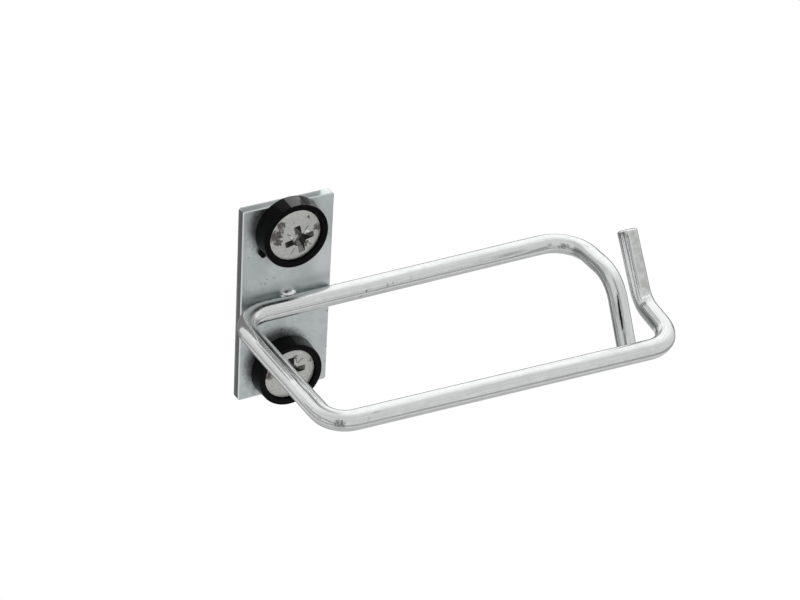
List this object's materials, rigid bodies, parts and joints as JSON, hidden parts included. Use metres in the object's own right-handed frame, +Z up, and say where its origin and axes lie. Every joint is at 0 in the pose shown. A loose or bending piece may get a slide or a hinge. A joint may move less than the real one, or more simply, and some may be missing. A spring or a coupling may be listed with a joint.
{
  "type": "rack cable management hook",
  "caption": "Open wire loop welded to a flat plate, screwed to a rack rail through cup washers, to guide cables along the front of a rack.",
  "frame": {"origin": "middle of the plate's back face, halfway between the two screws", "axes": "+X to the right along the loop, +Y into the rack rail, +Z up; the loop reaches forward along -Y"},
  "size_m": [0.08, 0.0533, 0.0458],
  "materials": {
    "plate_zinc": "dull zinc plating with faint vertical rolling marks",
    "wire_zinc": "bright zinc plating with lengthwise drawing lines",
    "weld_metal": "bright plated weld bead",
    "screw_steel": "zinc plated steel with handling dirt and small scratches",
    "black_nylon": "glossy black moulded plastic"
  },
  "bodies": {
    "root": {"mounting_plate": "plate_zinc", "wire_loop": "wire_zinc", "weld_bead": "weld_metal", "upper_screw": "screw_steel", "lower_screw": "screw_steel", "upper_cup_washer": "black_nylon", "lower_cup_washer": "black_nylon"}
  },
  "joints": []
}
